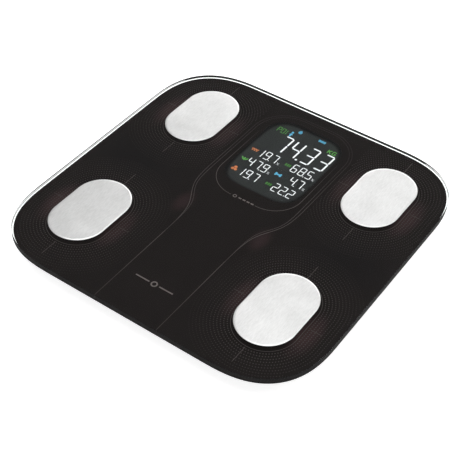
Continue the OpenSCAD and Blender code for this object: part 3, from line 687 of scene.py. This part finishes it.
def chip_black():
    return textured("chip_black", (0.012, 0.012, 0.013), (0.026, 0.026, 0.028), (0.5, 0.66), 1400.0,
                    strength=0.3, depth=0.00004)


def shield_can():
    return textured("shield_can", (0.55, 0.55, 0.54), (0.74, 0.74, 0.73), (0.28, 0.42), 700.0,
                    group=BRUSHED, strength=0.15, depth=0.00003, Metallic=1.0)


def connector_nylon():
    return textured("connector_nylon", (0.70, 0.67, 0.58), (0.82, 0.80, 0.72), (0.4, 0.55), 700.0,
                    strength=0.2)


def lead_sleeve():
    """Insulation whose colour turns from lead to lead across the tray."""
    material, tree, shader = new_finish("lead_sleeve")
    grain = place_group(tree, GRAIN, Size=500.0, Drift=25.0)
    place = add(tree, "ShaderNodeTexCoord")
    split = add(tree, "ShaderNodeSeparateXYZ")
    link(tree, place.outputs["Object"], split.inputs[0])
    side = remap(tree, split.outputs["X"], -0.004, 0.004, 0.0, 1.0)
    red = blend_colours(tree, grain.outputs["Tone"], (0.34, 0.02, 0.015), (0.50, 0.035, 0.025))
    black = blend_colours(tree, grain.outputs["Tone"], (0.012, 0.012, 0.013), (0.03, 0.03, 0.032))
    link(tree, blend_colours(tree, side, red, black), shader.inputs["Base Color"])
    link(tree, by_tone(tree, grain, 0.35, 0.5), shader.inputs["Roughness"])
    relief(tree, shader, grain.outputs["Height"], 0.15, 0.00004)
    return material


FINISHES = {make.__name__: make() for make in (
    toughened_glass, ceramic_print, electrode_steel, plated_steel, spring_steel, brass, tray_plastic,
    cradle_plastic, button_plastic, foot_rubber, bond_foam, battery_case, circuit_board, chip_black,
    shield_can, connector_nylon, display_glass, light_acrylic, film_white, housing_plastic,
    ribbon_film, lead_sleeve, polished_edge, print_ink, readout_white, readout_blue, readout_green,
    readout_orange)}


def dress_frame():
    """Every CAD node gets the finish that its slot names."""
    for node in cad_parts.values():
        slot = node.data.materials[0].name.split(".")[0]
        for place in range(len(node.data.materials)):
            node.data.materials[place] = FINISHES[slot]


# ---------------------------------------------------------------- the glass top


FLAT_FACE_Z = 0.97  # a face of the glass that leans more than this is part of its edge or a hole


def glass_sheet():
    """The tempered sheet with its ground and polished edge, drilled for the electrode studs."""
    low, high = GLASS_LOW.z, GLASS_HIGH.z
    edge = ((0.45, 0.0), (0.27, 0.03), (0.13, 0.11), (0.035, 0.25), (0.0, 0.42))
    rings = [at_height(platform_outline(inset), low + rise) for inset, rise in edge]
    rings += [at_height(platform_outline(inset), high - rise) for inset, rise in reversed(edge)]
    shape = Shape()
    shape.loft(rings)
    sheet = shape.piece("glass_sheet", FINISHES["toughened_glass"], "toughened_glass",
                        stands_for=["glass_platform"])
    cut_holes(sheet, map(stud_centre, CORNERS), STUD_HOLE_R, low - 1, high + 1)
    sheet.data.materials.append(FINISHES["polished_edge"])
    for face in sheet.data.polygons:
        if abs(face.normal.z) < FLAT_FACE_Z:
            face.material_index = 1
    weigh_normals(sheet)


def printed_ground():
    """The dark print under the glass, open over the display."""
    inset = PRINT_LOW.x - GLASS_LOW.x
    outer, window = platform_outline(inset), window_outline(0)
    shape = Shape()
    shape.loft([at_height(outer, PRINT_LOW.z), at_height(outer, PRINT_TOP),
                at_height(window, PRINT_TOP), at_height(window, PRINT_LOW.z)], tube=True)
    ground = shape.piece("printed_ground", FINISHES["ceramic_print"], "ceramic_print",
                         stands_for=["back_print"])
    cut_holes(ground, map(stud_centre, CORNERS), PRINT_HOLE_R, PRINT_LOW.z - 1, PRINT_TOP + 1)


INK_LOW, INK_HIGH = PRINT_TOP - 0.02, PRINT_TOP + 0.03
BAND_NARROW = 30.6  # half the width of the band in front
BAND_BEND_START, BAND_BEND_END = 30, -58
INNER_LINE = {"wide": 47.3, "middle": -6.0, "ease": 6.8}
OUTER_LINE = {"wide": 50.1, "middle": -8.0, "ease": 8.4}


def band_half_width(y, wide, middle, ease):
    """Half the width of the band at a depth: narrow in front, wide beside the display."""
    return BAND_NARROW + (wide - BAND_NARROW) / (1 + math.exp((middle - y) / ease))


def faded(path, near, far, y_near, y_far):
    """A shade for each point of a path, from near to far as y goes from y_near to y_far."""
    shares = [min(1, max(0, (y - y_near) / (y_far - y_near))) for _, y in path]
    return [near + (far - near) * share for share in shares]


def centre_band():
    """Fine lines that run round the display, draw in below it and go down to the front edge."""
    shape = Shape()
    front = -GLASS_D / 2 + 3
    start = BAND_BEND_START
    for line, strength in ((INNER_LINE, 0.3), (OUTER_LINE, 0.55)):
        half = band_half_width(start, **line)
        grow = half - WINDOW_W / 2
        around = round_corners(2 * half, WINDOW_D + 2 * grow, WINDOW_R + grow + 4,
                               centre=(0, WINDOW_Y))
        top = [(x, y) for x, y in around if y > WINDOW_Y - 1]
        sides = [(half, start + step * 10) for step in range(3)]
        path = [*sides, *top, *[(-x, y) for x, y in reversed(sides)]]
        shape.strip(path, 0.45, INK_LOW, INK_HIGH, shade=faded(path, 0.42, 0.1, start, 120))
        for side in SIDES:
            bend = [(side * band_half_width(y, **line), y)
                    for y in range(BAND_BEND_START, BAND_BEND_END - 1, -1)]
            shape.strip(bend, 0.5, INK_LOW, INK_HIGH, shade=faded(bend, 0.42, strength, 25, -10))
    for side in SIDES:
        down = [(side * BAND_NARROW, y) for y in (BAND_BEND_END, -75, -92, -109, -126, front)]
        shape.strip(down, 0.55, INK_LOW, INK_HIGH, shade=faded(down, 0.55, 0.28, -75, -126))
    shape.piece("centre_band_lines", FINISHES["print_ink"], "ceramic_print")


def display_frame_line():
    """A fine line round the window, strongest in front and open at the middle there."""
    shape = Shape()
    half, front, gap = WINDOW_W / 2 + 3, 12.1, 12.5
    reach = WINDOW_Y - front
    outline = round_corners(2 * half, 2 * reach, WINDOW_R + 8, centre=(0, WINDOW_Y))
    lower = [(x, y) for x, y in outline if y < WINDOW_Y and x > 0]
    climb = [(half, y) for y in range(50, 110, 10)]
    path = [(gap, front), *lower, *climb]
    for side in SIDES:
        shape.strip([(side * x, y) for x, y in path], 0.5, INK_LOW, INK_HIGH,
                    shade=faded(path, 0.6, 0.04, 32, 100))
    shape.piece("display_frame_line", FINISHES["print_ink"], "ceramic_print")


BARS_Y, RING_LINE_Y = 12.3, -111.4


def plain_marks():
    """Two plain ornaments: a ring with bars under the display, and a ring on a line in front."""
    shape = Shape()
    shape.strip(circle(-8.6, BARS_Y, 1.5, 20), 0.7, INK_LOW, INK_HIGH, closed=True, shade=2.4)
    for step in range(4):
        x = -4.6 + step * 4.2
        shape.strip([(x, BARS_Y), (x + 2.9, BARS_Y)], 1.3, INK_LOW, INK_HIGH, shade=2.2)
    shape.strip(circle(0, RING_LINE_Y, 2.4, 28), 1.2, INK_LOW, INK_HIGH, closed=True, shade=2.4)
    for side in SIDES:
        shape.strip([(side * x, RING_LINE_Y) for x in (5.0, 18.5)], 1.2, INK_LOW, INK_HIGH, shade=2.4)
    shape.piece("plain_marks", FINISHES["print_ink"], "ceramic_print")


def track_points(centre, straight, radius, pitch, phase):
    """Evenly spaced points round a stadium that is longer along Y."""
    arc = math.pi * radius
    total = 2 * arc + 4 * straight
    count = max(8, round(total / pitch))
    for i in range(count):
        run = (i + phase) / count * total
        if run < arc:
            angle = run / radius
            yield centre[0] + radius * math.cos(angle), centre[1] + straight + radius * math.sin(angle)
        elif run < arc + 2 * straight:
            yield centre[0] - radius, centre[1] + straight - (run - arc)
        elif run < 2 * arc + 2 * straight:
            angle = math.pi + (run - arc - 2 * straight) / radius
            yield centre[0] + radius * math.cos(angle), centre[1] - straight + radius * math.sin(angle)
        else:
            yield centre[0] + radius, centre[1] - straight + (run - 2 * arc - 2 * straight)


DOT_RINGS, RING_PITCH, DOT_PITCH, DOT_R = 12, 2.68, 2.27, 0.55
FIRST_RING = 4.3  # from the electrode's edge to the nearest ring


def electrode_stadium(corner):
    """Centre of an electrode, radius of its ends and half the length of its straight sides."""
    low, high = box_mm("electrode_" + corner)
    radius = (high.x - low.x) / 2
    return electrode_centre(corner), radius, (high.y - low.y) / 2 - radius


def dotted_field(corner):
    """Rings of fine dots round one electrode, smaller and weaker outward."""
    centre, radius, straight = electrode_stadium(corner)
    shape = Shape()
    for ring in range(DOT_RINGS):
        away = FIRST_RING + ring * RING_PITCH
        fade = 1 - ring / DOT_RINGS
        for x, y in track_points(centre, straight, radius + away, DOT_PITCH, 0.5 * (ring % 2)):
            if inside_platform(x, y, 4) and abs(x) > band_half_width(y, **OUTER_LINE) + 2.5:
                shape.prism(circle(x, y, DOT_R * (0.75 + 0.25 * fade), 6), INK_LOW, INK_HIGH,
                            shade=0.05 + 0.25 * fade)
    shape.piece("dotted_field_" + corner, FINISHES["print_ink"], "ceramic_print")


def electrode_guides(corner):
    """A thin outline and four short ticks that centre the foot on one electrode."""
    centre, radius, straight = electrode_stadium(corner)
    shape = Shape()
    ring = list(track_points(centre, straight, radius + 1.9, 2.0, 0))
    shape.strip(ring, 0.4, INK_LOW, INK_HIGH, closed=True, shade=0.42)
    (x, y), reach = centre, straight + radius
    for side in SIDES:
        shape.strip([(x, y + side * (reach + gap)) for gap in (3, 20)], 0.45, INK_LOW, INK_HIGH, shade=0.4)
        shape.strip([(x + side * (radius + gap), y) for gap in (5, 15)], 0.4, INK_LOW, INK_HIGH, shade=0.3)
    shape.piece("electrode_guides_" + corner, FINISHES["print_ink"], "ceramic_print")


# ---------------------------------------------------------------- electrodes


def threaded_stud(shape, x, y, low, high):
    """A welded stud with a coarse thread on its lower half."""
    tip, groove, pitch, threaded = 0.5, 0.28, 0.5, 5
    rings, z = [at_height(circle(x, y, STUD_R - tip), low)], low + 0.3
    while z < low + threaded:
        rings += [at_height(circle(x, y, STUD_R), z),
                  at_height(circle(x, y, STUD_R - groove), z + pitch / 2)]
        z += pitch
    rings += [at_height(circle(x, y, STUD_R), z), at_height(circle(x, y, STUD_R), high)]
    shape.loft(rings)


def electrode_plate(corner):
    """A pressed steel plate with softly rolled edges and one stud through the glass."""
    low, high = box_mm("electrode_" + corner)
    x, y = electrode_centre(corner)
    width, length = high.x - low.x, high.y - low.y
    plate_low = box_mm("electrode_bond_pads")[1].z
    shape = Shape()
    edge = ((0.2, 0.0), (0.0, 0.15), (0.0, 0.3), (0.07, 0.4), (0.25, 0.48), (1.15, 0.76), (1.5, 0.8))
    shape.loft([at_height(round_corners(width - 2 * inset, length - 2 * inset, width / 2 - inset,
                                        steps=32, centre=(x, y)), plate_low + rise)
                for inset, rise in edge])
    threaded_stud(shape, *stud_centre(corner), low.z, plate_low + 0.2)
    plate = shape.piece("electrode_plate_" + corner, FINISHES["electrode_steel"], "electrode_steel",
                        stands_for=["electrode_" + corner])
    weigh_normals(plate)
    return plate


# ---------------------------------------------------------------- display

SEGMENTS = {"0": "abcdef", "1": "bc", "2": "abged", "3": "abgcd", "4": "fgbc", "5": "afgcd",
            "6": "afgedc", "7": "abc", "8": "abcdefg", "9": "abcdfg", "P": "abefg"}
LIT_LOW, LIT_HIGH = PANEL_HIGH.z - 0.02, PANEL_HIGH.z + 0.06


def bar_outline(x1, y1, x2, y2, stroke):
    """One segment: a bar with pointed ends."""
    along = Vector((x2 - x1, y2 - y1)).normalized() * stroke / 2
    side = Vector((-along.y, along.x))
    a, b = Vector((x1, y1)), Vector((x2, y2))
    return [tuple(p) for p in (a, a + along + side, b - along + side, b, b - along - side,
                               a + along - side)]


def digit(shape, mark, x, y, width, height, stroke, lean=0.0):
    """A seven-segment figure whose lower left corner is at x, y."""
    gap, edge = stroke * 0.12, stroke / 2
    left, right = x + edge, x + width - edge
    low, mid, high = y + edge, y + height / 2, y + height - edge
    bars = {"a": (left + gap, high, right - gap, high), "g": (left + gap, mid, right - gap, mid),
            "d": (left + gap, low, right - gap, low), "b": (right, mid + gap, right, high - gap),
            "c": (right, low + gap, right, mid - gap), "f": (left, mid + gap, left, high - gap),
            "e": (left, low + gap, left, mid - gap)}
    for name in SEGMENTS[mark]:
        outline = bar_outline(*bars[name], stroke)
        shape.prism([(px + lean * (py - y), py) for px, py in outline], LIT_LOW, LIT_HIGH)


def weight_readout():
    """The large figures of the weight, with a round point before the last two."""
    shape = Shape()
    width, height, stroke, base, lean = 9.8, 24.6, 1.58, 85.1, 0.03
    for mark, x in (("7", -19.0), ("4", -5.5), ("3", 10.0), ("3", 24.6)):
        digit(shape, mark, x, base, width, height, stroke, lean)
    shape.prism(circle(6.9, base + 0.9, 1.1, 16), LIT_LOW, LIT_HIGH)
    shape.piece("weight_readout", FINISHES["readout_white"], "display_glass")


ROW_TOP, ROW_PITCH = 69.4, 15.7  # lower edge of the top row of small figures, and the step down
ROW_HEIGHT = 11.4
ROW_WIDTH = 5.5
ROW_STROKE = 0.86
ROW_FIGURES = (("19.7", "68.5"), ("47.9", "4.7"), ("19.7", "22.2"))
COLUMN_ENDS = (-5.8, 31.1)
DIGIT_PITCH = 7.65


def percent_mark(shape, x, y):
    """Two small rings and a stroke between them."""
    for dx, dy in ((0.6, 2.6), (1.9, 0.7)):
        shape.strip(circle(x + dx, y + dy, 0.4, 10), 0.28, LIT_LOW, LIT_HIGH, closed=True, shade=0.75)
    shape.strip([(x + 0.3, y + 0.4), (x + 2.2, y + 2.9)], 0.3, LIT_LOW, LIT_HIGH, shade=0.75)


def body_figures():
    """Six smaller figures in two columns of three."""
    shape, units = Shape(), Shape()
    for row, figures in enumerate(ROW_FIGURES):
        base = ROW_TOP - row * ROW_PITCH
        for end, figure in zip(COLUMN_ENDS, figures):
            for place, mark in enumerate(reversed(figure.replace(".", ""))):
                digit(shape, mark, end - ROW_WIDTH - place * DIGIT_PITCH, base, ROW_WIDTH, ROW_HEIGHT,
                      ROW_STROKE)
            shape.prism(circle(end - ROW_WIDTH - 1.0, base + 0.5, 0.55, 10), LIT_LOW, LIT_HIGH)
            if row < 2:
                percent_mark(units, end + 1.6, base + 0.2)
    shape.piece("body_figures", FINISHES["readout_white"], "display_glass")
    units.piece("percent_marks", FINISHES["readout_white"], "display_glass")


def oval(x, y, reach_x, reach_y, turn=0.0, steps=20):
    """An ellipse turned by some degrees."""
    cos_t, sin_t = math.cos(math.radians(turn)), math.sin(math.radians(turn))
    return [(x + a * cos_t - b * sin_t, y + a * sin_t + b * cos_t)
            for a, b in ((reach_x * math.cos(2 * math.pi * i / steps),
                          reach_y * math.sin(2 * math.pi * i / steps)) for i in range(steps))]


def drop_outline(x, y, radius, height):
    """A water drop with its point up."""
    outline = []
    for i in range(24):
        angle = math.pi * 2 * i / 24
        pinch = 1 - math.sin(angle) if math.sin(angle) > 0 else 1
        outline.append((x + radius * math.cos(angle) * (0.4 + 0.6 * min(1, pinch * 1.4)),
                        y + (math.sin(angle) * (height - radius) if math.sin(angle) > 0
                             else math.sin(angle) * radius)))
    return outline


LINK_X, LINK_Y = 12.9, 121.7
BONE_X, BONE_Y = 5.4, 59.4
LEAF_X, LEAF_Y = -31.1, 59.6


def blue_marks():
    """Drop, link, figure and bone."""
    shape = Shape()
    shape.prism(drop_outline(-10.4, 120.9, 1.9, 5.0), LIT_LOW, LIT_HIGH, shade=0.8)
    shape.prism(round_corners(5.6, 2.6, 0.8, steps=5, centre=(LINK_X, LINK_Y)), LIT_LOW, LIT_HIGH,
                shade=0.8)
    for side in SIDES:
        shape.prism(oval(LINK_X + side * 2.8, LINK_Y, 0.95, 1.7), LIT_LOW, LIT_HIGH, shade=0.8)
    shape.prism(oval(-16.1, 117.0, 1.1, 1.2), LIT_LOW, LIT_HIGH)
    shape.prism([(-17.9, 113.4), (-16.1, 116.0), (-14.3, 113.4), (-15.2, 113.2), (-15.3, 110.6),
                 (-16.9, 110.6), (-17.0, 113.2)][::-1], LIT_LOW, LIT_HIGH)
    shape.prism(round_corners(4.4, 1.7, 0.4, steps=4, centre=(BONE_X, BONE_Y)), LIT_LOW, LIT_HIGH)
    for side in SIDES:
        for rise in SIDES:
            shape.prism(oval(BONE_X + side * 2.4, BONE_Y + rise, 0.95, 1.05), LIT_LOW, LIT_HIGH)
    shape.piece("blue_marks", FINISHES["readout_blue"], "display_glass")


def green_marks():
    """User number, unit, leaf and two rows of short bars."""
    shape = Shape()
    for mark, x in (("P", -30.6), ("0", -26.2), ("1", -22.8)):
        digit(shape, mark, x, 110.2, 3.5 if mark != "1" else 2.2, 7.2, 0.55)
    for path in (((24.4, 111.2), (24.4, 116.0)), ((27.4, 116.0), (24.5, 113.6)),
                 ((25.3, 113.9), (27.6, 111.2)),
                 ((32.2, 115.7), (29.4, 115.9), (29.0, 113.5), (29.4, 111.3), (32.2, 111.5),
                  (32.2, 113.4), (30.8, 113.4))):
        shape.strip(path, 1.0, LIT_LOW, LIT_HIGH, shade=1.5)
    for side in (-1, 0, 1):
        shape.prism(oval(LEAF_X + side * 2.0, LEAF_Y + abs(side) * 0.2, 0.75, 2.1, -38 * side),
                    LIT_LOW, LIT_HIGH)
    for row in (0, 2):
        middle = ROW_TOP - row * ROW_PITCH + 5.9
        for step in range(3):
            shape.prism(round_corners(1.6, 3.4, 0.4, steps=3, centre=(3.4 + step * 2.1, middle)),
                        LIT_LOW, LIT_HIGH, shade=0.55)
    shape.piece("green_marks", FINISHES["readout_green"], "display_glass")


def orange_marks():
    """Three waves and a stack of three balls."""
    shape = Shape()
    for step in range(3):
        x = -32.4 + step * 2.2
        shape.strip([(x - 1.1, 77.0), (x - 0.3, 73.8), (x + 0.8, 77.2)], 1.1, LIT_LOW, LIT_HIGH)
    for x, y, radius in ((-30.7, 45.6, 1.5), (-32.2, 42.6, 1.5), (-29.2, 42.6, 1.5)):
        shape.prism(circle(x, y, radius, 18), LIT_LOW, LIT_HIGH)
    shape.piece("orange_marks", FINISHES["readout_orange"], "display_glass")


def display_face():
    """The panel itself, its glass edges lightly broken."""
    low, high = PANEL_LOW, PANEL_HIGH
    width, depth = high.x - low.x, high.y - low.y
    shape = Shape()
    thick, broken = high.z - low.z, 0.25
    edge = ((broken, 0.0), (0.0, broken), (0.0, thick - broken), (broken, thick))
    shape.loft([at_height(round_corners(width - 2 * inset, depth - 2 * inset, 1.2 - inset, steps=5,
                                        centre=(0, WINDOW_Y)), low.z + rise)
                for inset, rise in edge])
    face = shape.piece("display_face", FINISHES["display_glass"], "display_glass",
                       stands_for=["display_panel"])
    weigh_normals(face)


# ---------------------------------------------------------------- studio


def pale_floor():
    """A wide pale sheet under the scale, see-through from below; only mirrored light finds it dark."""
    mesh = bpy.data.meshes.new("floor")
    reach, top = 14, -0.0001
    mesh.from_pydata([(x * reach, y * reach, top) for x, y in ((-1, -1), (1, -1), (1, 1), (-1, 1))],
                     [], [(0, 1, 2, 3)])
    floor = bpy.data.objects.new("floor", mesh)
    bpy.context.scene.collection.objects.link(floor)
    material, tree, shader = new_finish("floor_paper", Roughness=0.9, Specular_IOR_Level=0.1,
                                        Emission_Strength=1.0)
    grain = place_group(tree, GRAIN, Size=40.0, Drift=3.0)
    path = add(tree, "ShaderNodeLightPath")
    side = add(tree, "ShaderNodeNewGeometry")
    link(tree, math_node(tree, "SUBTRACT", 1.0, side.outputs["Backfacing"]), shader.inputs["Alpha"])
    mirrored = math_node(tree, "MULTIPLY", path.outputs["Is Glossy Ray"],
                         math_node(tree, "SUBTRACT", 1.0, path.outputs["Is Transmission Ray"]))
    link(tree, blend_colours(tree, mirrored, (0.85, 0.85, 0.85), (0.0, 0.0, 0.0)),
         shader.inputs["Emission Color"])
    seen = blend_colours(tree, grain.outputs["Tone"], (0.60, 0.60, 0.60), (0.64, 0.64, 0.64))
    link(tree, blend_colours(tree, mirrored, seen, (0.2, 0.2, 0.2)), shader.inputs["Base Color"])
    mesh.materials.append(material)


def softbox(name, azimuth, elevation, distance, width, height, power):
    """A large soft light that points at the scale."""
    data = bpy.data.lights.new(name, "AREA")
    data.shape, data.size, data.size_y, data.energy = "RECTANGLE", width, height, power
    lamp = bpy.data.objects.new(name, data)
    bpy.context.scene.collection.objects.link(lamp)
    turn, rise = math.radians(azimuth), math.radians(elevation)
    back = Vector((math.sin(turn) * math.cos(rise), -math.cos(turn) * math.cos(rise), math.sin(rise)))
    lamp.location = back * distance
    lamp.rotation_mode = "QUATERNION"
    lamp.rotation_quaternion = (-back).to_track_quat("-Z", "Y")
    return lamp


def light_only(lamp, pieces):
    """Keeps a lamp's light to some pieces, so that the glass does not mirror it."""
    lit = bpy.data.collections.new(lamp.name + "_takers")
    for piece in pieces:
        lit.objects.link(piece)
    lamp.light_linking.receiver_collection = lit


def studio_light(plates):
    """Soft lamps and a sky. Two of the lamps light the plates alone. One of those hangs a little
    below the overhead lamp, as the plates came out darker with both in one place."""
    softbox("overhead_light", 0, 90, 1.5, 1.5, 1.5, 17).visible_glossy = False
    light_only(softbox("overhead_plate_light", 0, 90, 1.48, 1.5, 1.5, 17), plates)
    softbox("left_light", -75, 40, 1.8, 1.2, 1.2, 2)
    softbox("right_light", 125, 40, 1.8, 1.2, 1.2, 10)
    light_only(softbox("back_light", 198, 17, 2.2, 2.0, 0.7, 24), plates)
    world = bpy.data.worlds.new("studio")
    bpy.context.scene.world = world
    world.use_nodes = True
    tree = world.node_tree
    sky = tree.nodes["Background"]
    place = add(tree, "ShaderNodeTexCoord")
    split = add(tree, "ShaderNodeSeparateXYZ")
    link(tree, place.outputs["Generated"], split.inputs[0])
    ramp = add(tree, "ShaderNodeValToRGB")
    stops = ((0.0, 0.75), (0.28, 0.65), (0.5, 0.2), (0.85, 0.15), (1.0, 0.7))
    while len(ramp.color_ramp.elements) < len(stops):
        ramp.color_ramp.elements.new(0.5)
    for stop, (position, grey) in zip(ramp.color_ramp.elements, stops):
        stop.position, stop.color = position, (grey, grey, grey, 1)
    link(tree, split.outputs["Z"], ramp.inputs["Fac"])
    link(tree, ramp.outputs["Color"], sky.inputs["Color"])
    bpy.context.scene.view_settings.view_transform = "Standard"


def camera():
    """Three-quarter view from the front right corner, a touch turned."""
    aim = Vector((0.01505, -0.02859, 0.0257))
    azimuth, elevation, roll = math.radians(33.92), math.radians(44.0), math.radians(1.92)
    distance = 0.8946
    data = bpy.data.cameras.new("camera")
    data.lens, data.sensor_width = 84.15, 36
    data.clip_start, data.clip_end = 0.05, 50
    seat = bpy.data.objects.new("camera", data)
    bpy.context.scene.collection.objects.link(seat)
    back = Vector((math.sin(azimuth) * math.cos(elevation), -math.cos(azimuth) * math.cos(elevation),
                   math.sin(elevation)))
    right = Vector((math.cos(azimuth), math.sin(azimuth), 0))
    up = back.cross(right)
    tilted = right * math.cos(roll) + up * math.sin(roll)
    up = back.cross(tilted)
    seat.matrix_world = Matrix.Translation(aim + back * distance) @ Matrix(
        (tilted, up, back)).transposed().to_4x4()
    bpy.context.scene.camera = seat


camera()
pale_floor()
dress_frame()
glass_sheet()
printed_ground()
centre_band()
display_frame_line()
plain_marks()
for each_corner in CORNERS:
    dotted_field(each_corner)
    electrode_guides(each_corner)
studio_light([electrode_plate(each_corner) for each_corner in CORNERS])
display_face()
weight_readout()
body_figures()
blue_marks()
green_marks()
orange_marks()
